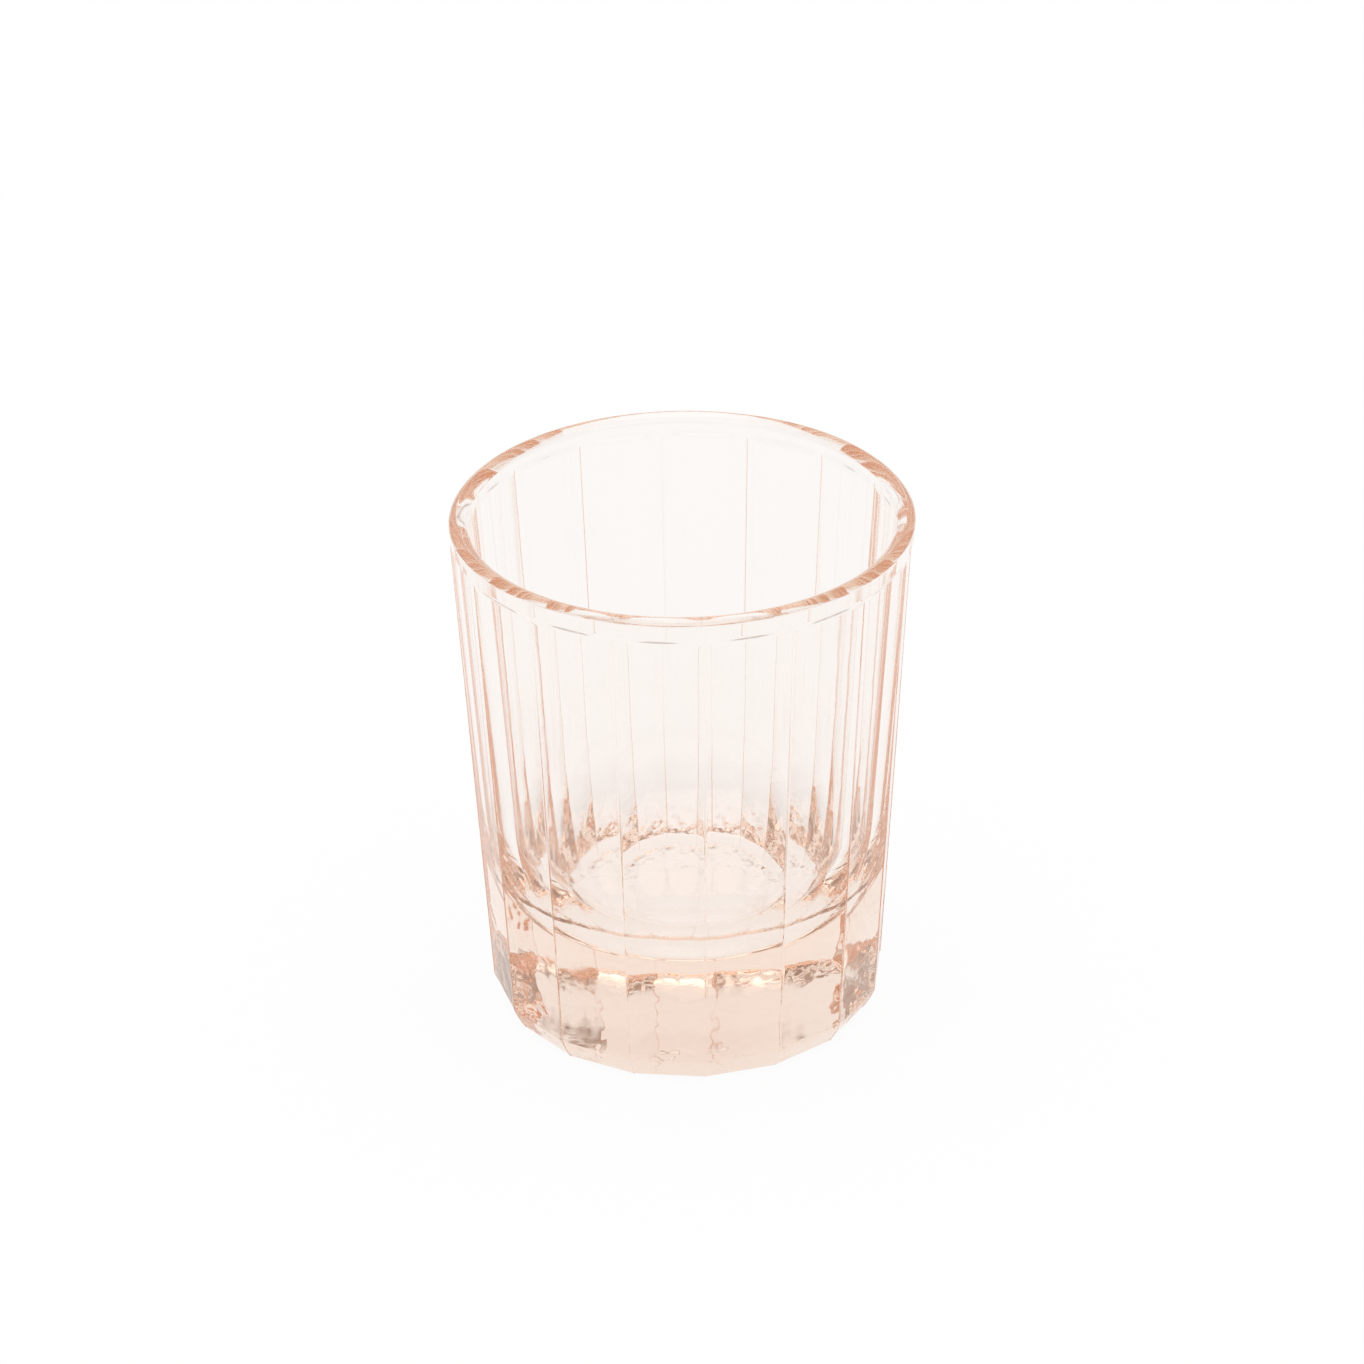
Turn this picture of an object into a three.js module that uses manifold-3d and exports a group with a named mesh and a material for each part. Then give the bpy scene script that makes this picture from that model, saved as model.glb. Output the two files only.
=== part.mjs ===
// A small pressed-glass tumbler: a tapered round blank with flat panels pressed into its outside, a plain
// band under the lip, a thick base with a bevelled heel, and a shallow dish underneath that leaves a flat foot
// ring. Millimetres, +Z up. The origin is the centre of the foot, and a ridge between two panels faces -Y.

import * as THREE from "three";
import { mergeVertices } from "three/addons/utils/BufferGeometryUtils.js";
import Module from "manifold-3d";

// Outside
const HEIGHT = 60.4;
const RIM_DIAMETER = 51.4;
const HEEL_DIAMETER = 44.2; // across the ridges, where the wall meets the heel
const HEEL_HEIGHT = 2.6;
const HEEL_INSET = 1.4; // how far the foot lies inside the wall above it
const HEEL_FULLNESS = 1.1; // 1 is a flat bevel and 2 is a round

// Panels
const PANEL_COUNT = 16;
const RIDGE_LAND = 0.36; // width of the round blank left between two panels
const LIP_BAND = 2.4; // plain height from the top of the panels to the top of the rim
const PANEL_RUNOUT = 0.9; // height over which a panel runs out into the band
const PANEL_CLEARANCE = 3; // how far a panel's cutter reaches past the blank

// Lip
const RIM_WALL = 2.1;
const LIP_CREST_INSET = 0.8; // from the outside face to the highest line of the lip
const LIP_OUTER_ROUND = 0.8; // height of the lip's outer side
const LIP_INNER_ROUND = 1; // height of the lip's inner side
const LIP_FULLNESS = 1.4; // 1 is a flat bevel and 2 is a round

// Bowl
const BASE_THICKNESS = 12;
const BOWL_CORNER_HEIGHT = 13.8;
const BOWL_FLOOR_DIAMETER = 15.4; // flat middle of the floor
const BOWL_FULLNESS = 2.3; // 2 is an elliptic corner, and more is tighter
const LOWER_WALL = 2.6; // wall where the bowl starts to close in

// Underside
const RECESS_DIAMETER = 32;
const RECESS_DEPTH = 0.8;
const RECESS_SLOPE = 14; // width of the smooth slope from the foot ring up into the recess

// Fineness of the facets
const SEGMENTS_PER_PANEL = 6;
const STEPS_PER_LIP = 3;
const STEPS_PER_HEEL = 2;
const STEPS_PER_BOWL = 6;
const STEPS_PER_RECESS = 4;
const MERGE_TOLERANCE = 1e-4;

const rimRadius = RIM_DIAMETER / 2;
const heelRadius = HEEL_DIAMETER / 2;
const panelAngle = (2 * Math.PI) / PANEL_COUNT;
const wallTop = HEIGHT - LIP_OUTER_ROUND;
const bowlTop = HEIGHT - LIP_INNER_ROUND;
const panelTop = HEIGHT - LIP_BAND;

// Radius of the tapered blank, which is also that of the ridges, at a height above the foot.
function ridgeRadius(z) {
  const taper = (rimRadius - heelRadius) / (wallTop - HEEL_HEIGHT);
  return heelRadius + taper * (z - HEEL_HEIGHT);
}

// Distance from the axis to the middle of a panel at a height, which leaves the ridges their land.
function panelRadius(z) {
  const radius = ridgeRadius(z);
  return radius * Math.cos(panelAngle / 2 - RIDGE_LAND / (2 * radius));
}

// Points on a quarter of a superellipse about a centre, from its side to its top, or to its bottom where the
// height is negative.
function quarter(x, z, width, height, fullness, steps) {
  return Array.from({ length: steps + 1 }, (_, step) => {
    const turn = (step / steps) * (Math.PI / 2);
    return new THREE.Vector2(
      x + width * Math.cos(turn) ** (2 / fullness),
      z + height * Math.sin(turn) ** (2 / fullness),
    );
  });
}

// The underside of the recess, from the axis out to the foot ring, falling as a smooth step.
function recessCurve() {
  const edge = RECESS_DIAMETER / 2;
  return Array.from({ length: STEPS_PER_RECESS + 1 }, (_, step) => {
    const share = step / STEPS_PER_RECESS;
    const drop = THREE.MathUtils.smoothstep(share, 0, 1);
    return new THREE.Vector2(edge - RECESS_SLOPE * (1 - share), RECESS_DEPTH * (1 - drop));
  });
}

// Half the body's section: underside, foot, tapered wall, lip and bowl, from the axis round to the axis.
function bodyProfile() {
  const floorRadius = BOWL_FLOOR_DIAMETER / 2;
  const crestRadius = rimRadius - LIP_CREST_INSET;
  const lipInside = RIM_WALL - LIP_CREST_INSET;
  const cornerTop = BASE_THICKNESS + BOWL_CORNER_HEIGHT;
  const cornerWidth = ridgeRadius(cornerTop) - LOWER_WALL - floorRadius;
  const outerLip = quarter(
    crestRadius,
    wallTop,
    LIP_CREST_INSET,
    LIP_OUTER_ROUND,
    LIP_FULLNESS,
    STEPS_PER_LIP,
  );
  const innerLip = quarter(
    crestRadius,
    bowlTop,
    -lipInside,
    LIP_INNER_ROUND,
    LIP_FULLNESS,
    STEPS_PER_LIP,
  );
  const corner = quarter(
    floorRadius,
    cornerTop,
    cornerWidth,
    -BOWL_CORNER_HEIGHT,
    BOWL_FULLNESS,
    STEPS_PER_BOWL,
  );
  return [
    new THREE.Vector2(0, RECESS_DEPTH),
    ...recessCurve(),
    new THREE.Vector2(ridgeRadius(0), 0),
    ...outerLip,
    ...innerLip.reverse().slice(1),
    ...corner,
    new THREE.Vector2(0, BASE_THICKNESS),
  ];
}

// The space outside one panel, as radius against height: the heel's bevel at the foot, the straight panel,
// and the slope at the top where the panel runs out through the blank.
function panelSection() {
  const outside = rimRadius + PANEL_CLEARANCE;
  const runoutStart = panelTop - PANEL_RUNOUT;
  const footRadius = panelRadius(HEEL_HEIGHT) - HEEL_INSET;
  const heel = quarter(footRadius, HEEL_HEIGHT, HEEL_INSET, -HEEL_HEIGHT, HEEL_FULLNESS, STEPS_PER_HEEL);
  const shape = new THREE.Shape();
  shape.moveTo(outside, -PANEL_CLEARANCE);
  shape.lineTo(outside, panelTop);
  shape.lineTo(ridgeRadius(panelTop), panelTop);
  shape.lineTo(panelRadius(runoutStart), runoutStart);
  for (const point of heel) {
    shape.lineTo(point.x, point.y);
  }
  shape.lineTo(footRadius, -PANEL_CLEARANCE);
  return shape;
}

// A geometry as a solid: its shared vertices are merged, and triangles that collapse on the axis are dropped.
function solidOf(wasm, geometry) {
  geometry.deleteAttribute("normal");
  geometry.deleteAttribute("uv");
  const merged = mergeVertices(geometry, MERGE_TOLERANCE);
  const corners = merged.index.array;
  const triVerts = [];
  for (let i = 0; i < corners.length; i += 3) {
    const [a, b, c] = corners.slice(i, i + 3);
    if (a !== b && b !== c && c !== a) triVerts.push(a, b, c);
  }
  return new wasm.Manifold(
    new wasm.Mesh({
      numProp: 3,
      vertProperties: merged.getAttribute("position").array,
      triVerts: new Uint32Array(triVerts),
    }),
  );
}

// The profile turned about +Z, with a column of vertices on every ridge.
function turnedBody(wasm) {
  const geometry = new THREE.LatheGeometry(bodyProfile(), PANEL_COUNT * SEGMENTS_PER_PANEL);
  return solidOf(wasm, geometry.rotateX(Math.PI / 2));
}

// The panel's section drawn out sideways, as wide as the panel at the rim, and turned to its place.
function panelCutter(wasm, index) {
  const width = 2 * (rimRadius + PANEL_CLEARANCE) * Math.tan(panelAngle / 2);
  const geometry = new THREE.ExtrudeGeometry(panelSection(), {
    depth: width,
    bevelEnabled: false,
  });
  geometry.translate(0, 0, -width / 2).rotateX(Math.PI / 2);
  geometry.rotateZ((index + 0.5) * panelAngle);
  return solidOf(wasm, geometry);
}

function meshOf(solid, name, material) {
  const { vertProperties, triVerts } = solid.getMesh();
  const geometry = new THREE.BufferGeometry();
  geometry.setAttribute("position", new THREE.BufferAttribute(vertProperties, 3));
  geometry.setIndex(new THREE.BufferAttribute(triVerts, 1));
  geometry.computeVertexNormals();
  const mesh = new THREE.Mesh(geometry, material);
  mesh.name = name;
  return mesh;
}

function buildTumbler(wasm) {
  let body = turnedBody(wasm);
  for (let index = 0; index < PANEL_COUNT; index += 1) {
    body = body.subtract(panelCutter(wasm, index));
  }
  const blushGlass = new THREE.MeshStandardMaterial({
    name: "blush_glass",
    color: 0xf8ddd0,
    roughness: 0.05,
    metalness: 0,
    transparent: true,
    opacity: 0.35,
  });
  return meshOf(body, "tumbler", blushGlass);
}

const wasm = await Module();
wasm.setup();

const glass = new THREE.Group();
glass.add(buildTumbler(wasm));

export default glass;
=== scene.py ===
"""Looks of a small panelled tumbler in pale pink pressed glass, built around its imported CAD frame.

The glass is one turned surface: a profile is carried round the axis, and a share of it is cut flat by
sixteen panels. The file is laid out as an add-on, and is run as a script. It works in metres, with +Z up.
"""

import math

import bpy
import numpy as np
from bpy.props import FloatProperty, FloatVectorProperty, IntProperty, PointerProperty
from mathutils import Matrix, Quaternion, Vector


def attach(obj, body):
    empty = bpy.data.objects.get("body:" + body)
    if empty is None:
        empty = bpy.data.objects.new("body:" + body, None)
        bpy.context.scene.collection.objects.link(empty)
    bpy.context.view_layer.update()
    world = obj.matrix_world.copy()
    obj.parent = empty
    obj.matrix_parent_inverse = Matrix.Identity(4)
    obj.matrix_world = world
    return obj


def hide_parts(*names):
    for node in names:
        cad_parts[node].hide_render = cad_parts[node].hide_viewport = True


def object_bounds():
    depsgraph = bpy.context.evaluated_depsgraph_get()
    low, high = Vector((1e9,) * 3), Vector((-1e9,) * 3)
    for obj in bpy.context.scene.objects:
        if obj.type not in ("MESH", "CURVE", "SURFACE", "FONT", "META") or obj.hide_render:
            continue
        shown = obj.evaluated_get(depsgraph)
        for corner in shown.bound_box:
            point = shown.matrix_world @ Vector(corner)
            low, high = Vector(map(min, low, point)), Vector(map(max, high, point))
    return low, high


bl_info = {
    "name": "Panelled tumbler",
    "version": (1, 0, 0),
    "blender": (4, 5, 0),
    "location": "3D View > Sidebar > Tumbler",
    "description": "Builds a small panelled glass tumbler and the studio that it stands in",
    "category": "Object",
}

GLASS_NODE = "tumbler"
GRAIN = "mould_grain"
MM = 0.001

# Points along each stretch of the profile, and across a panel and a land
RECESS_FLAT_POINTS = 5
RECESS_SLOPE_POINTS = 20
FOOT_RING_POINTS = 4
HEEL_POINTS = 15
PANEL_POINTS = 24
RUNOUT_POINTS = 14
BAND_POINTS = 4
LIP_POINTS = 18
BOWL_WALL_POINTS = 16
BOWL_CORNER_POINTS = 40
BOWL_FLOOR_POINTS = 9
PANEL_COLUMNS = 23
LAND_COLUMNS = 11

# How strongly columns crowd at the ridges, and how far the row beside an edge lies from it
COLUMN_CROWDING = 1.5
EDGE_HOLD = 0.06 * MM

# Fineness of the finish's noise, and the span of it over which the polish is lost
RIPPLE_DETAIL = 2.0
RIPPLE_ROUGHNESS = 0.45
GRAIN_DETAIL = 1.0
DULL_DETAIL = 3.0
DULL_START = 0.45
DULL_END = 0.8

# The view, as fitted to the photograph
IMAGE_SIZE = 1364
VIEW_ELEVATION = math.radians(29.25)
VIEW_AZIMUTH = math.radians(-5.0)
VIEW_ROLL = math.radians(-0.75)
VIEW_DISTANCE = 0.7325
PIXELS_PER_METRE = 228.9 / 0.0257
AIM_PIXEL = (685.16, 752.3)
AIM_HEIGHT = 0.03
SENSOR_WIDTH = 36.0

# The parts of the studio that aren't lit: a direction, and the two cosines between which the light falls
BEHIND_PART = ((0.0, -0.574, 0.819), 0.75, 0.97)
SIDE_PART = ((0.766, 0.0, 0.643), 0.7, 0.9)
HORIZON_PART = ((0.0, 0.0, 1.0), 0.15, 0.03)

# Sockets of a mix node that mixes colours
MIX_FIRST = 6
MIX_SECOND = 7
MIX_RESULT = 2

PLAIN_WHITE = (1.0, 1.0, 1.0, 1.0)
LIGHT_BOUNCES = 64

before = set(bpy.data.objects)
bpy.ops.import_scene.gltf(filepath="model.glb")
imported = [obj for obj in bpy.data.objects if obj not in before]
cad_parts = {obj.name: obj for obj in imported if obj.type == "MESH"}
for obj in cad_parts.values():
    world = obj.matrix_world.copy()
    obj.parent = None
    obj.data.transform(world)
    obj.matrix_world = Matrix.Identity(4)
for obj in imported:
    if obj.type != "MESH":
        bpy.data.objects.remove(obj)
CAD_LOW, CAD_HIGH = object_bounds()


class TumblerSizes(bpy.types.PropertyGroup):
    """Sizes of the glass. The overall ones come from the frame."""

    height: FloatProperty(
        name="Height",
        description="From the foot to the top of the lip",
        default=CAD_HIGH.z - CAD_LOW.z,
        unit="LENGTH",
    )
    rim_diameter: FloatProperty(
        name="Rim diameter",
        description="Across the plain band under the lip",
        default=CAD_HIGH.y - CAD_LOW.y,
        unit="LENGTH",
    )
    heel_diameter: FloatProperty(
        name="Heel diameter",
        description="Across the ridges, where the wall meets the heel",
        default=44.2 * MM,
        unit="LENGTH",
    )
    heel_height: FloatProperty(
        name="Heel height",
        description="Height of the bevelled corner at the foot",
        default=2.6 * MM,
        unit="LENGTH",
    )
    heel_inset: FloatProperty(
        name="Heel inset",
        description="How far the foot lies inside the wall above it",
        default=1.4 * MM,
        unit="LENGTH",
    )
    heel_fullness: FloatProperty(
        name="Heel fullness",
        description="1 is a flat bevel and 2 is a round",
        default=1.1,
    )
    panel_count: IntProperty(
        name="Panels",
        description="Number of flat panels round the outside",
        default=16,
        min=3,
    )
    ridge_land: FloatProperty(
        name="Ridge land",
        description="Width of the round blank left between two panels, at the rim",
        default=0.36 * MM,
        unit="LENGTH",
    )
    ridge_softness: FloatProperty(
        name="Ridge softness",
        description="Depth over which fire polishing has rounded the edges of the ridges",
        default=0.01 * MM,
        unit="LENGTH",
    )
    ridge_bead: FloatProperty(
        name="Ridge bead",
        description="Height of the fine bead that the mould leaves along each ridge",
        default=0.08 * MM,
        unit="LENGTH",
    )
    lip_band: FloatProperty(
        name="Lip band",
        description="Plain height from the top of the panels to the top of the lip",
        default=2.4 * MM,
        unit="LENGTH",
    )
    panel_runout: FloatProperty(
        name="Panel run-out",
        description="Height over which a panel runs out into the plain band",
        default=0.9 * MM,
        unit="LENGTH",
    )
    rim_wall: FloatProperty(
        name="Rim wall",
        description="Thickness of the wall just under the lip",
        default=2.1 * MM,
        unit="LENGTH",
    )
    crest_inset: FloatProperty(
        name="Lip crest inset",
        description="From the outside face to the highest line of the lip",
        default=0.8 * MM,
        unit="LENGTH",
    )
    lip_outer_round: FloatProperty(
        name="Outer lip round",
        description="Height of the lip's outer round",
        default=0.8 * MM,
        unit="LENGTH",
    )
    lip_inner_round: FloatProperty(
        name="Inner lip round",
        description="Height of the lip's inner round",
        default=1.0 * MM,
        unit="LENGTH",
    )
    lip_fullness: FloatProperty(
        name="Lip fullness",
        description="1 is a flat bevel and 2 is a round",
        default=1.4,
    )
    base_thickness: FloatProperty(
        name="Base thickness",
        description="From the foot to the floor of the bowl",
        default=12.0 * MM,
        unit="LENGTH",
    )
    corner_height: FloatProperty(
        name="Bowl corner height",
        description="Height over which the bowl's wall curves into its floor",
        default=13.8 * MM,
        unit="LENGTH",
    )
    corner_fullness: FloatProperty(
        name="Bowl corner fullness",
        description="2 is an elliptic corner, and more is tighter",
        default=2.3,
    )
    floor_diameter: FloatProperty(
        name="Bowl floor diameter",
        description="Across the flat middle of the bowl's floor",
        default=15.4 * MM,
        unit="LENGTH",
    )
    lower_wall: FloatProperty(
        name="Lower wall",
        description="Thickness of the wall where the bowl starts to close in",
        default=2.6 * MM,
        unit="LENGTH",
    )
    recess_diameter: FloatProperty(
        name="Recess diameter",
        description="Across the shallow recess under the foot",
        default=32.0 * MM,
        unit="LENGTH",
    )
    recess_depth: FloatProperty(
        name="Recess depth",
        description="Depth of the recess under the foot",
        default=0.8 * MM,
        unit="LENGTH",
    )
    recess_slope: FloatProperty(
        name="Recess slope",
        description="Width of the step from the foot ring up into the recess",
        default=14.0 * MM,
        unit="LENGTH",
    )


class GlassLook(bpy.types.PropertyGroup):
    """Colour and surface of the glass."""

    surface_tint: FloatVectorProperty(
        name="Surface tint",
        description="Colour that a thin wall gives to light that passes it",
        subtype="COLOR",
        default=(0.995, 0.985, 0.978),
        min=0.0,
        max=1.0,
    )
    body_tint: FloatVectorProperty(
        name="Body tint",
        description="Colour that thick glass tends to: it takes up the most of its weakest channel",
        subtype="COLOR",
        default=(0.93, 0.4, 0.0),
        min=0.0,
        max=1.0,
    )
    body_density: FloatProperty(
        name="Body density",
        description="How much of its weakest channel the glass takes up in a metre",
        default=7.8,
    )
    refraction: FloatProperty(
        name="Index of refraction",
        description="Index of refraction of soda-lime glass",
        default=1.5,
    )
    ripple_scale: FloatProperty(
        name="Ripple scale",
        description="Waves in a metre of the faint ripple that the mould leaves",
        default=180.0,
    )
    ripple_height: FloatProperty(
        name="Ripple height",
        description="Height of the ripple's waves",
        default=0.018 * MM,
        unit="LENGTH",
    )
    grain_scale: FloatProperty(
        name="Grain scale",
        description="Grains in a metre of the rough finish that the mould leaves on the foot and heel",
        default=420.0,
    )
    grain_height: FloatProperty(
        name="Grain height",
        description="Height of the rough finish's grains",
        default=0.2 * MM,
        unit="LENGTH",
    )
    grain_inside: FloatProperty(
        name="Grain inside",
        description="Distance from the axis at which the rough finish sets in under the foot",
        default=11.0 * MM,
        unit="LENGTH",
    )
    grain_top: FloatProperty(
        name="Grain top",
        description="Height up the wall at which the rough finish is gone",
        default=18.0 * MM,
        unit="LENGTH",
    )
    dull_scale: FloatProperty(
        name="Dull patch scale",
        description="Patches in a metre where the surface is less polished",
        default=90.0,
    )
    dull_roughness: FloatProperty(
        name="Dull patch roughness",
        description="Roughness in the middle of the less polished patches",
        default=0.12,
        min=0.0,
        max=1.0,
    )


class StageLook(bpy.types.PropertyGroup):
    """The studio: floor, surroundings, lamp and camera."""

    white: FloatVectorProperty(
        name="Studio white",
        description="Colour of the floor and surroundings, as the glass shows them",
        subtype="COLOR",
        default=(0.98, 0.965, 0.955),
        min=0.0,
        max=1.0,
    )
    floor_albedo: FloatProperty(
        name="Floor albedo",
        description="Share of the floor's brightness that a shadow can take away",
        default=0.05,
        min=0.0,
        max=1.0,
    )
    floor_size: FloatProperty(
        name="Floor size",
        description="Length of a side of the square floor",
        default=1.0,
        unit="LENGTH",
    )
    floor_gap: FloatProperty(
        name="Floor gap",
        description="Thin air gap between the floor and the foot, which only touch at a few points",
        default=0.05 * MM,
        unit="LENGTH",
    )
    sky: FloatProperty(
        name="Sky",
        description="Brightness of the studio above the floor",
        default=0.95,
        min=0.0,
        max=1.0,
    )
    shade: FloatVectorProperty(
        name="Shade",
        description="Colour of the parts of the studio that aren't lit",
        subtype="COLOR",
        default=(0.36, 0.255, 0.2),
        min=0.0,
        max=1.0,
    )
    behind: FloatProperty(
        name="Light behind the camera",
        description="Share of its light that the studio has left high up behind the camera",
        default=0.0,
        min=0.0,
        max=1.0,
    )
    sides: FloatProperty(
        name="Light at the sides",
        description="Share of its light that the studio has left at the left and right",
        default=0.0,
        min=0.0,
        max=1.0,
    )
    horizon: FloatProperty(
        name="Light at the horizon",
        description="Share of its light that the studio has left at the height of the floor's edge",
        default=0.45,
        min=0.0,
        max=1.0,
    )
    lamp_size: FloatProperty(
        name="Lamp size",
        description="Length of a side of the square soft lamp overhead",
        default=0.8,
        unit="LENGTH",
    )
    lamp_height: FloatProperty(
        name="Lamp height",
        description="Height of the soft lamp above the floor",
        default=0.7,
        unit="LENGTH",
    )
    lamp_brightness: FloatProperty(
        name="Lamp brightness",
        description="How much brighter than the surroundings the lamp shows, with white as 1",
        default=0.9,
        min=0.0,
    )


def superellipse(fullness, points):
    """Quarter of a superellipse, as across and up: across**n + up**n = 1, where n is the fullness."""
    turn = np.linspace(0.0, math.pi / 2, points)
    return np.cos(turn) ** (2 / fullness), np.sin(turn) ** (2 / fullness)


def smooth_step(share):
    """0 below 0, 1 above 1, and the cubic with flat ends in between."""
    share = np.clip(share, 0.0, 1.0)
    return share * share * (3.0 - 2.0 * share)


def smooth_lower(first, second, depth):
    """The lower of two arrays, with a parabola over the given depth where they cross."""
    mix = np.clip(0.5 + 0.5 * (second - first) / depth, 0.0, 1.0)
    return second + (first - second) * mix - depth * mix * (1.0 - mix)


def held_span(low, high, points):
    """Even points from low to high, with one more a short hold from each end, to keep the shading crisp."""
    way = math.copysign(EDGE_HOLD, high - low)
    return np.concatenate([[low, low + way], np.linspace(low, high, points)[1:-1], [high - way, high]])


class Profile:
    """Half the glass's section, from under the foot round to the bowl's floor.

    Its rows are radius, height and panel share, which says how far the panels cut the row: 0 leaves it
    round and 1 cuts it flat.
    """

    def __init__(self, sizes):
        self.sizes = sizes
        self.rim_radius = sizes.rim_diameter / 2
        self.heel_radius = sizes.heel_diameter / 2
        self.wall_top = sizes.height - sizes.lip_outer_round
        self.bowl_top = sizes.height - sizes.lip_inner_round
        self.corner_top = sizes.base_thickness + sizes.corner_height

    def ridge_radius(self, height):
        """Radius of the tapered blank: straight from the heel's top to the lip."""
        taper = (self.rim_radius - self.heel_radius) / (self.wall_top - self.sizes.heel_height)
        return self.heel_radius + taper * (height - self.sizes.heel_height)

    def bowl_radius(self, height):
        """Radius of the bowl's straight wall, carried on down past its corner."""
        top = self.rim_radius - self.sizes.rim_wall
        bottom = self.ridge_radius(self.corner_top) - self.sizes.lower_wall
        return bottom + (top - bottom) * (height - self.corner_top) / (self.bowl_top - self.corner_top)

    def underside(self):
        """The recess, flat to its slope, and a smooth step down to the foot ring."""
        sizes = self.sizes
        edge = sizes.recess_diameter / 2
        flat = np.linspace(0.0, edge - sizes.recess_slope, RECESS_FLAT_POINTS)[:-1]
        step = np.linspace(edge - sizes.recess_slope, edge, RECESS_SLOPE_POINTS)
        radius = np.concatenate([flat, step])
        drop = smooth_step((radius - edge + sizes.recess_slope) / sizes.recess_slope)
        return radius, sizes.recess_depth * (1.0 - drop), np.zeros_like(radius)

    def heel(self):
        """The foot ring, across which the panels set in, and the quarter superellipse up to the wall."""
        sizes = self.sizes
        foot = self.heel_radius - sizes.heel_inset
        ring = held_span(sizes.recess_diameter / 2, foot, FOOT_RING_POINTS)[1:-1]
        ring_share = smooth_step((ring - ring[0]) / (ring[-2] - ring[0]))
        inset, drop = superellipse(sizes.heel_fullness, HEEL_POINTS)
        rise = sizes.heel_height * (1.0 - inset)
        radius = np.concatenate([ring, foot + sizes.heel_inset * drop])
        height = np.concatenate([np.zeros_like(ring), rise])
        return radius, height, np.concatenate([ring_share, np.ones_like(rise)])

    def wall(self):
        """The straight panels, their run-out and the plain band.

        Over the run-out the panel share falls as a smooth step.
        """
        sizes = self.sizes
        runout_top = sizes.height - sizes.lip_band
        panel_top = runout_top - sizes.panel_runout
        panel = held_span(sizes.heel_height, panel_top, PANEL_POINTS)[1:]
        runout = np.linspace(panel_top, runout_top, RUNOUT_POINTS)[1:]
        band = held_span(runout_top, self.wall_top, BAND_POINTS)[1:-1]
        height = np.concatenate([panel, runout, band])
        share = smooth_step((runout_top - height) / sizes.panel_runout)
        return self.ridge_radius(height), height, share

    def lip(self):
        """Two quarter superellipses that meet at the crest, the outer one up and the inner one down."""
        sizes = self.sizes
        crest = self.rim_radius - sizes.crest_inset
        outer_across, outer_up = superellipse(sizes.lip_fullness, LIP_POINTS)
        inner_up, inner_across = superellipse(sizes.lip_fullness, LIP_POINTS)
        outer_radius = crest + sizes.crest_inset * outer_across
        inner_radius = crest - (sizes.rim_wall - sizes.crest_inset) * inner_across
        outer_height = self.wall_top + sizes.lip_outer_round * outer_up
        inner_height = self.bowl_top + sizes.lip_inner_round * inner_up
        radius = np.concatenate([outer_radius, inner_radius[1:]])
        height = np.concatenate([outer_height, inner_height[1:]])
        return radius, height, np.zeros_like(radius)

    def bowl(self):
        """The straight inner wall, a quarter superellipse that leaves it smoothly, and the flat floor."""
        sizes = self.sizes
        floor_radius = sizes.floor_diameter / 2
        wall = held_span(self.bowl_top, self.corner_top, BOWL_WALL_POINTS)[1:]
        across, down = superellipse(sizes.corner_fullness, BOWL_CORNER_POINTS)
        corner = self.corner_top - sizes.corner_height * down[1:]
        corner_radius = floor_radius + (self.bowl_radius(corner) - floor_radius) * across[1:]
        floor = np.linspace(floor_radius, 0.0, BOWL_FLOOR_POINTS)[1:]
        radius = np.concatenate([self.bowl_radius(wall), corner_radius, floor])
        height = np.concatenate([wall, corner, np.full_like(floor, sizes.base_thickness)])
        return radius, height, np.zeros_like(radius)

    def rows(self):
        """The whole section, as one column of radii, one of heights and one of panel shares."""
        parts = [self.underside(), self.heel(), self.wall(), self.lip(), self.bowl()]
        return [np.concatenate(column)[:, None] for column in zip(*parts)]


def panel_angles(sizes):
    """Angles from the middle of a panel to the middle of the ridge beside it, and to the panel's edge."""
    half = math.pi / sizes.panel_count
    return half, half - sizes.ridge_land / sizes.rim_diameter


def panel_columns(sizes):
    """Angles of the mesh's columns from -Y, and of each from the middle of its panel.

    A land gets a few even columns. Across a panel the offset from its middle is a power curve, which crowds
    columns at the ridges.
    """
    half, edge = panel_angles(sizes)
    share = np.linspace(-1.0, 1.0, PANEL_COLUMNS)
    across = edge * np.sign(share) * (1.0 - (1.0 - np.abs(share)) ** COLUMN_CROWDING)
    land = np.linspace(edge, 2 * half - edge, LAND_COLUMNS)[1:-1]
    offset = np.concatenate([across, land])
    turns = 2 * half * (np.arange(sizes.panel_count) + 0.5)
    angle = (turns[:, None] + offset[None, :]).ravel()
    near = np.where(offset > half, offset - 2 * half, offset)
    return angle, np.tile(near, sizes.panel_count)


def tumbler_surface(sizes):
    """The glass's surface as a grid of points, rows by columns.

    A panel is a chord, at the apothem over the cosine of the angle from the panel's middle. The radius is
    the row's own, less the panel share of what the chord takes off it. The bead on a ridge is a cosine wave
    as wide as the land.
    """
    radius, height, share = Profile(sizes).rows()
    angle, offset = panel_columns(sizes)
    half, edge = panel_angles(sizes)
    chord = radius * math.cos(edge) / np.cos(offset)[None, :]
    cut = smooth_lower(chord, np.broadcast_to(radius, chord.shape), sizes.ridge_softness)
    beside = np.clip((half - np.abs(offset)) / (half - edge), 0.0, 1.0)
    bead = sizes.ridge_bead * (0.5 + 0.5 * np.cos(math.pi * beside))
    shaped = radius + share * (cut - radius + bead)
    return np.stack(
        [shaped * np.sin(angle), -shaped * np.cos(angle), np.broadcast_to(height, shaped.shape)],
        axis=-1,
    )


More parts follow.
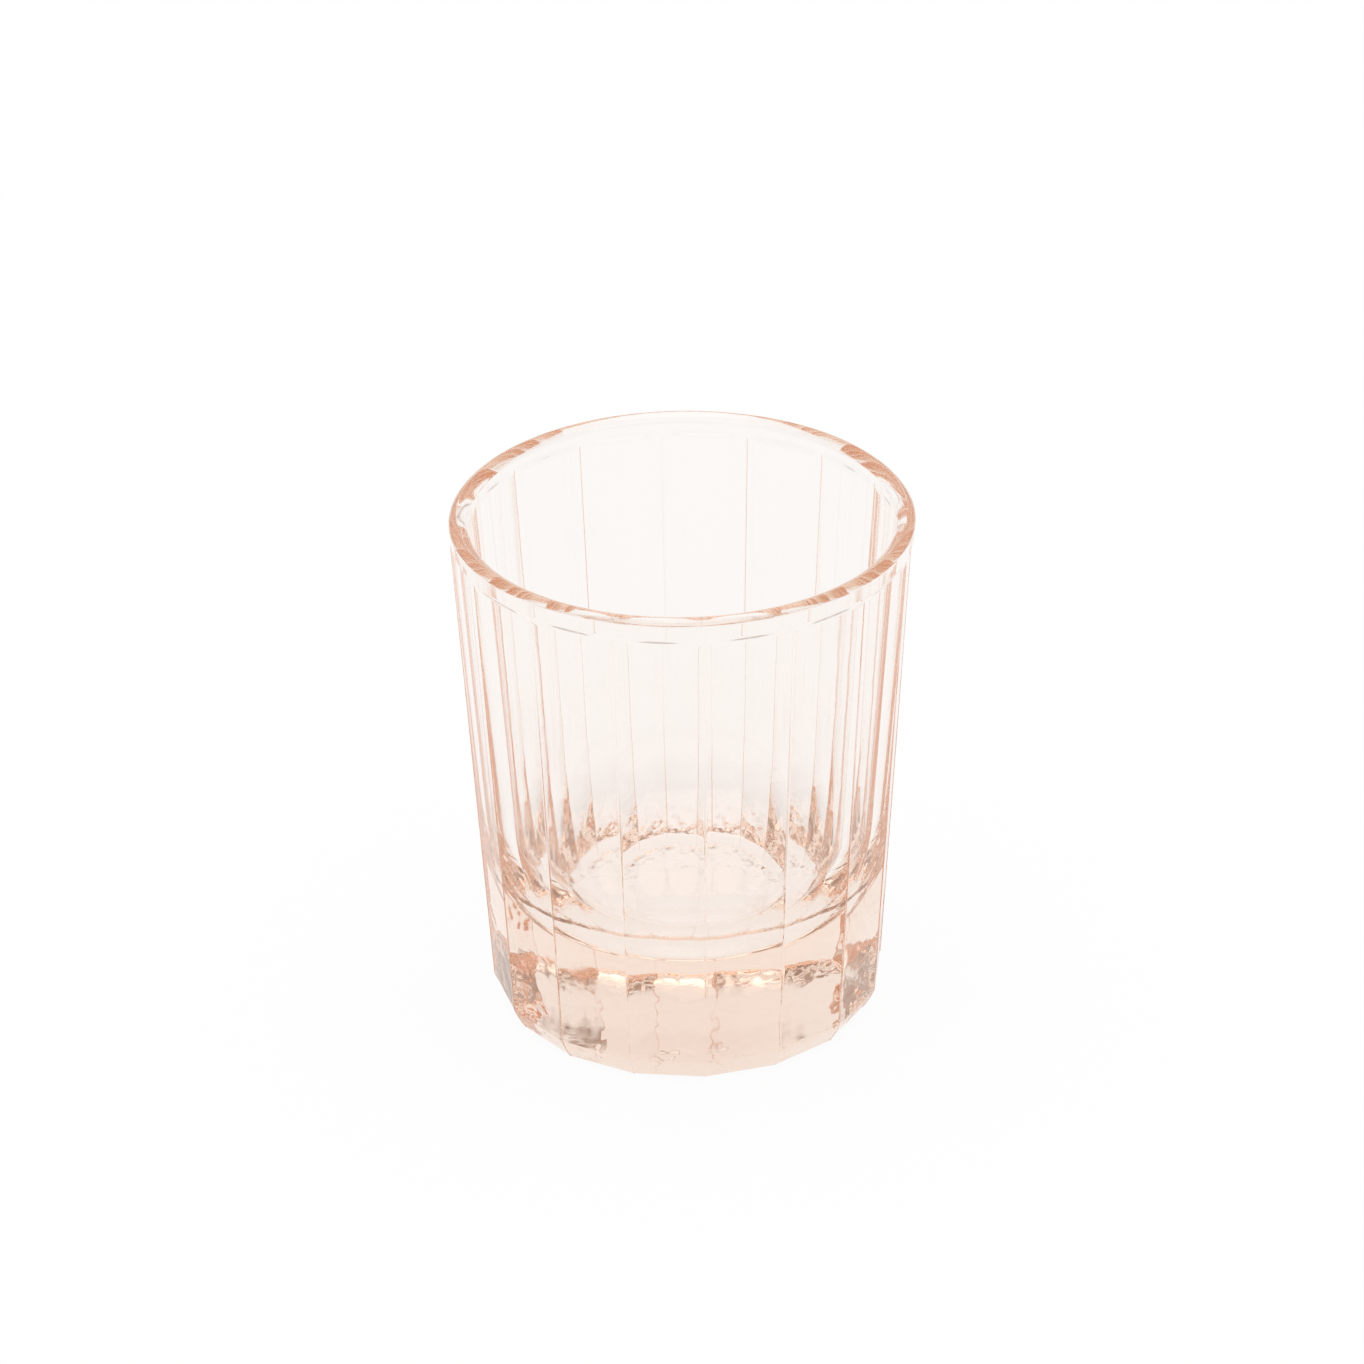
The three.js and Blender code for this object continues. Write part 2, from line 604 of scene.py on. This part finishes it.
def closed_mesh(name, points):
    """A mesh from a grid that is closed round its columns. Its first and last rows are a pole each."""
    rows, columns = points.shape[:2]
    inner = points[1:-1].reshape(-1, 3)
    verts = np.concatenate([points[:1, 0], inner, points[-1:, 0]])
    index = 1 + np.arange((rows - 2) * columns).reshape(rows - 2, columns)
    beside = np.roll(index, -1, axis=1)
    quads = np.stack([index[:-1], beside[:-1], beside[1:], index[1:]], axis=-1).reshape(-1, 4)
    first = np.stack([np.zeros(columns, int), beside[0], index[0]], axis=-1)
    last = np.stack([index[-1], beside[-1], np.full(columns, len(verts) - 1)], axis=-1)
    mesh = bpy.data.meshes.new(name)
    mesh.from_pydata(verts.tolist(), [], quads.tolist() + first.tolist() + last.tolist())
    mesh.polygons.foreach_set("use_smooth", np.ones(len(mesh.polygons), bool))
    if mesh.validate():
        raise RuntimeError(f"the surface of {name} has faulty faces")
    return mesh


def mark_grain(mesh, sizes, look):
    """Gives each point its share of the mould's grain: 1 on the foot ring and heel.

    It falls as a smooth step towards the axis under the foot, and up the wall above the heel.
    """
    place = np.empty(len(mesh.vertices) * 3)
    mesh.vertices.foreach_get("co", place)
    place = place.reshape(-1, 3)
    across = np.hypot(place[:, 0], place[:, 1])
    outward = smooth_step((across - look.grain_inside) / (sizes.recess_diameter / 2 - look.grain_inside))
    upward = smooth_step((place[:, 2] - sizes.heel_height) / (look.grain_top - sizes.heel_height))
    mesh.attributes.new(GRAIN, "FLOAT", "POINT").data.foreach_set("value", outward * (1.0 - upward))


def add_object(name, data):
    """An object with the mesh, lamp or camera, at the origin, in the scene's own collection."""
    thing = bpy.data.objects.new(name, data)
    bpy.context.scene.collection.objects.link(thing)
    return thing


def add_node(tree, kind, **values):
    """A node of the kind, with its properties or its inputs set by name."""
    node = tree.nodes.new(kind)
    for name, value in values.items():
        if hasattr(node, name):
            setattr(node, name, value)
        else:
            node.inputs[name.replace("_", " ")].default_value = value
    return node


def blush_glass(look):
    """Clear pink glass, tinted by what it takes up inside.

    Its surface has a faint ripple, a grainy foot and heel, and some less polished patches.
    """
    material = bpy.data.materials.new("blush_glass")
    material.use_nodes = True
    tree = material.node_tree
    shader = tree.nodes["Principled BSDF"]
    shader.inputs["Base Color"].default_value = (*look.surface_tint, 1.0)
    shader.inputs["Transmission Weight"].default_value = 1.0
    shader.inputs["IOR"].default_value = look.refraction

    place = add_node(tree, "ShaderNodeTexCoord")
    ripple = add_node(tree, "ShaderNodeTexNoise", Scale=look.ripple_scale, Detail=RIPPLE_DETAIL)
    ripple.inputs["Roughness"].default_value = RIPPLE_ROUGHNESS
    waves = add_node(tree, "ShaderNodeBump", Strength=1.0, Distance=look.ripple_height)
    tree.links.new(place.outputs["Object"], ripple.inputs["Vector"])
    tree.links.new(ripple.outputs["Fac"], waves.inputs["Height"])
    rough = add_node(tree, "ShaderNodeAttribute", attribute_name=GRAIN)
    grain = add_node(tree, "ShaderNodeTexNoise", Scale=look.grain_scale, Detail=GRAIN_DETAIL)
    grains = add_node(tree, "ShaderNodeBump", Distance=look.grain_height)
    tree.links.new(place.outputs["Object"], grain.inputs["Vector"])
    tree.links.new(grain.outputs["Fac"], grains.inputs["Height"])
    tree.links.new(rough.outputs["Fac"], grains.inputs["Strength"])
    tree.links.new(waves.outputs["Normal"], grains.inputs["Normal"])
    tree.links.new(grains.outputs["Normal"], shader.inputs["Normal"])

    polish = add_node(tree, "ShaderNodeTexNoise", Scale=look.dull_scale, Detail=DULL_DETAIL)
    dulled = add_node(tree, "ShaderNodeMapRange", From_Min=DULL_START, From_Max=DULL_END)
    dulled.inputs["To Max"].default_value = look.dull_roughness
    tree.links.new(place.outputs["Object"], polish.inputs["Vector"])
    tree.links.new(polish.outputs["Fac"], dulled.inputs["Value"])
    tree.links.new(dulled.outputs["Result"], shader.inputs["Roughness"])

    body = add_node(tree, "ShaderNodeVolumeAbsorption")
    body.inputs["Color"].default_value = (*look.body_tint, 1.0)
    body.inputs["Density"].default_value = look.body_density
    tree.links.new(body.outputs["Volume"], tree.nodes["Material Output"].inputs["Volume"])
    return material


def ray_kinds(tree):
    """Two sockets: 1 for rays that the glass reflects or lets through, and 1 for rays from the camera."""
    path = add_node(tree, "ShaderNodeLightPath")
    glass = add_node(tree, "ShaderNodeMath", operation="MAXIMUM")
    tree.links.new(path.outputs["Is Glossy Ray"], glass.inputs[0])
    tree.links.new(path.outputs["Is Transmission Ray"], glass.inputs[1])
    return glass.outputs["Value"], path.outputs["Is Camera Ray"]


def lamp_share(look):
    """Share of the sky's light that a lamp as bright as the sky would give the floor below it.

    For a square of half side a at height h it is 4/pi times s times atan(s), where s = a / sqrt(a*a + h*h).
    """
    half = look.lamp_size / 2
    reach = half / math.hypot(half, look.lamp_height)
    return 4 / math.pi * reach * math.atan(reach)


def pale_floor(look):
    """Matt floor that shows white where no shadow falls: its glow makes up what its albedo leaves out."""
    material = bpy.data.materials.new("pale_floor")
    material.use_nodes = True
    tree = material.node_tree
    tree.nodes.remove(tree.nodes["Principled BSDF"])
    matt = add_node(tree, "ShaderNodeBsdfDiffuse")
    matt.inputs["Color"].default_value = (look.floor_albedo, look.floor_albedo, look.floor_albedo, 1.0)
    glow = add_node(tree, "ShaderNodeEmission")
    by_glass, by_camera = ray_kinds(tree)
    seen = add_node(tree, "ShaderNodeMath", operation="MAXIMUM")
    tint = add_node(tree, "ShaderNodeMix", data_type="RGBA")
    lit = look.floor_albedo * (1.0 + look.lamp_brightness * lamp_share(look))
    tint.inputs[MIX_FIRST].default_value = (*[tone - lit for tone in look.white], 1.0)
    tint.inputs[MIX_SECOND].default_value = (1.0 - lit, 1.0 - lit, 1.0 - lit, 1.0)
    tree.links.new(by_glass, seen.inputs[0])
    tree.links.new(by_camera, seen.inputs[1])
    tree.links.new(by_camera, tint.inputs["Factor"])
    tree.links.new(tint.outputs[MIX_RESULT], glow.inputs["Color"])
    tree.links.new(seen.outputs["Value"], glow.inputs["Strength"])
    both = add_node(tree, "ShaderNodeAddShader")
    tree.links.new(matt.outputs["BSDF"], both.inputs[0])
    tree.links.new(glow.outputs["Emission"], both.inputs[1])
    tree.links.new(both.outputs["Shader"], tree.nodes["Material Output"].inputs["Surface"])
    return material


def light_left(tree, direction, part, level):
    """A socket with the share of light left in a direction: 1 outside an unlit part, the level inside it.

    A part has a direction of its own, and two cosines of the angle from it, between which the light falls.
    """
    toward, outer, inner = part
    facing = add_node(tree, "ShaderNodeVectorMath", operation="DOT_PRODUCT")
    facing.inputs[1].default_value = toward
    fall = add_node(
        tree,
        "ShaderNodeMapRange",
        interpolation_type="SMOOTHSTEP",
        From_Min=outer,
        From_Max=inner,
        To_Min=1.0,
        To_Max=level,
    )
    tree.links.new(direction, facing.inputs[0])
    tree.links.new(facing.outputs["Value"], fall.inputs["Value"])
    return fall.outputs["Result"]


def studio_surroundings(look):
    """White surroundings with parts that aren't lit: the horizon, the sides, and high behind the camera.

    Only the glass shows them: the floor is lit by plain white, and the camera sees plain white.
    """
    world = bpy.data.worlds.new("studio")
    world.use_nodes = True
    tree = world.node_tree
    place = add_node(tree, "ShaderNodeTexCoord")
    folded = add_node(tree, "ShaderNodeVectorMath", operation="ABSOLUTE")
    behind = light_left(tree, place.outputs["Generated"], BEHIND_PART, look.behind)
    sides = light_left(tree, folded.outputs["Vector"], SIDE_PART, look.sides)
    horizon = light_left(tree, folded.outputs["Vector"], HORIZON_PART, look.horizon)
    around = add_node(tree, "ShaderNodeMath", operation="MULTIPLY")
    left = add_node(tree, "ShaderNodeMath", operation="MULTIPLY")
    tone = add_node(tree, "ShaderNodeMix", data_type="RGBA")
    tone.inputs[MIX_FIRST].default_value = (*look.shade, 1.0)
    tone.inputs[MIX_SECOND].default_value = (*[look.sky * part for part in look.white], 1.0)
    by_glass, _ = ray_kinds(tree)
    shown = add_node(tree, "ShaderNodeMix", data_type="RGBA")
    shown.inputs[MIX_FIRST].default_value = PLAIN_WHITE
    tree.links.new(place.outputs["Generated"], folded.inputs[0])
    tree.links.new(sides, around.inputs[0])
    tree.links.new(horizon, around.inputs[1])
    tree.links.new(around.outputs["Value"], left.inputs[0])
    tree.links.new(behind, left.inputs[1])
    tree.links.new(left.outputs["Value"], tone.inputs["Factor"])
    tree.links.new(tone.outputs[MIX_RESULT], shown.inputs[MIX_SECOND])
    tree.links.new(by_glass, shown.inputs["Factor"])
    tree.links.new(shown.outputs[MIX_RESULT], tree.nodes["Background"].inputs["Color"])
    return world


def soft_lamp(look):
    """A square soft lamp overhead. A flat lamp shows its power over pi and its area."""
    data = bpy.data.lights.new("soft_lamp", "AREA")
    data.shape = "SQUARE"
    data.size = look.lamp_size
    data.energy = math.pi * look.lamp_size**2 * look.lamp_brightness
    lamp = add_object("soft_lamp", data)
    lamp.location = (0.0, 0.0, CAD_LOW.z + look.lamp_height)
    return lamp


def photo_camera():
    """A long lens at the photograph's height, side and roll.

    Its shift brings a point on the glass's axis to that point's place in the photograph.
    """
    data = bpy.data.cameras.new("photo_camera")
    data.sensor_width = SENSOR_WIDTH
    data.sensor_fit = "HORIZONTAL"
    data.lens = SENSOR_WIDTH * PIXELS_PER_METRE * VIEW_DISTANCE / IMAGE_SIZE
    data.shift_x = (IMAGE_SIZE / 2 - AIM_PIXEL[0]) / IMAGE_SIZE
    data.shift_y = (AIM_PIXEL[1] - IMAGE_SIZE / 2) / IMAGE_SIZE
    camera = add_object("photo_camera", data)
    level = math.cos(VIEW_ELEVATION)
    aside = level * math.sin(VIEW_AZIMUTH)
    back = Vector((aside, -level * math.cos(VIEW_AZIMUTH), math.sin(VIEW_ELEVATION)))
    camera.location = Vector((0.0, 0.0, CAD_LOW.z + AIM_HEIGHT)) + back * VIEW_DISTANCE
    camera.rotation_mode = "QUATERNION"
    roll = Quaternion((0.0, 0.0, 1.0), VIEW_ROLL)
    camera.rotation_quaternion = (-back).to_track_quat("-Z", "Y") @ roll
    return camera


def floor_mesh(look):
    """A square face under the foot, facing up, in the floor's material."""
    half = look.floor_size / 2
    level = CAD_LOW.z - look.floor_gap
    corners = [(-half, -half, level), (half, -half, level), (half, half, level), (-half, half, level)]
    mesh = bpy.data.meshes.new("floor")
    mesh.from_pydata(corners, [], [(0, 1, 2, 3)])
    mesh.materials.append(pale_floor(look))
    return mesh


class TUMBLER_OT_glass(bpy.types.Operator):
    """Builds the glass in place of its plain CAD solid"""

    bl_idname = "tumbler.glass"
    bl_label = "Build glass"

    def execute(self, context):
        scene = context.scene
        sizes = scene.tumbler_sizes
        mesh = closed_mesh("glass_tumbler", tumbler_surface(sizes))
        mark_grain(mesh, sizes, scene.tumbler_glass)
        glass = add_object("glass_tumbler", mesh)
        glass.data.materials.append(blush_glass(scene.tumbler_glass))
        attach(glass, "root")
        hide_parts(GLASS_NODE)
        return {"FINISHED"}


class TUMBLER_OT_stage(bpy.types.Operator):
    """Builds the floor, the lamp, the surroundings and the camera"""

    bl_idname = "tumbler.stage"
    bl_label = "Build stage"

    def execute(self, context):
        scene = context.scene
        look = scene.tumbler_stage
        mesh = floor_mesh(look)
        add_object("floor", mesh)
        soft_lamp(look)
        scene.world = studio_surroundings(look)
        scene.camera = photo_camera()
        scene.view_settings.view_transform = "Standard"
        scene.cycles.max_bounces = LIGHT_BOUNCES
        scene.cycles.transmission_bounces = LIGHT_BOUNCES
        scene.cycles.glossy_bounces = LIGHT_BOUNCES
        return {"FINISHED"}


class TUMBLER_PT_panel(bpy.types.Panel):
    """Lists the tumbler's sizes and looks, and the steps that build it"""

    bl_idname = "TUMBLER_PT_panel"
    bl_label = "Tumbler"
    bl_space_type = "VIEW_3D"
    bl_region_type = "UI"
    bl_category = "Tumbler"

    def draw(self, context):
        scene = context.scene
        for group in (scene.tumbler_sizes, scene.tumbler_glass, scene.tumbler_stage):
            column = self.layout.column()
            for name in group.__annotations__:
                column.prop(group, name)
        self.layout.operator(TUMBLER_OT_glass.bl_idname)
        self.layout.operator(TUMBLER_OT_stage.bl_idname)


CLASSES = (TumblerSizes, GlassLook, StageLook, TUMBLER_OT_glass, TUMBLER_OT_stage, TUMBLER_PT_panel)


def register():
    """Registers the classes and hangs the three groups of values on the scene."""
    for cls in CLASSES:
        bpy.utils.register_class(cls)
    bpy.types.Scene.tumbler_sizes = PointerProperty(type=TumblerSizes)
    bpy.types.Scene.tumbler_glass = PointerProperty(type=GlassLook)
    bpy.types.Scene.tumbler_stage = PointerProperty(type=StageLook)


def unregister():
    """Takes away what register added."""
    del bpy.types.Scene.tumbler_stage
    del bpy.types.Scene.tumbler_glass
    del bpy.types.Scene.tumbler_sizes
    for cls in reversed(CLASSES):
        bpy.utils.unregister_class(cls)


def main():
    register()
    bpy.ops.tumbler.glass()
    bpy.ops.tumbler.stage()


if __name__ == "__main__":
    main()
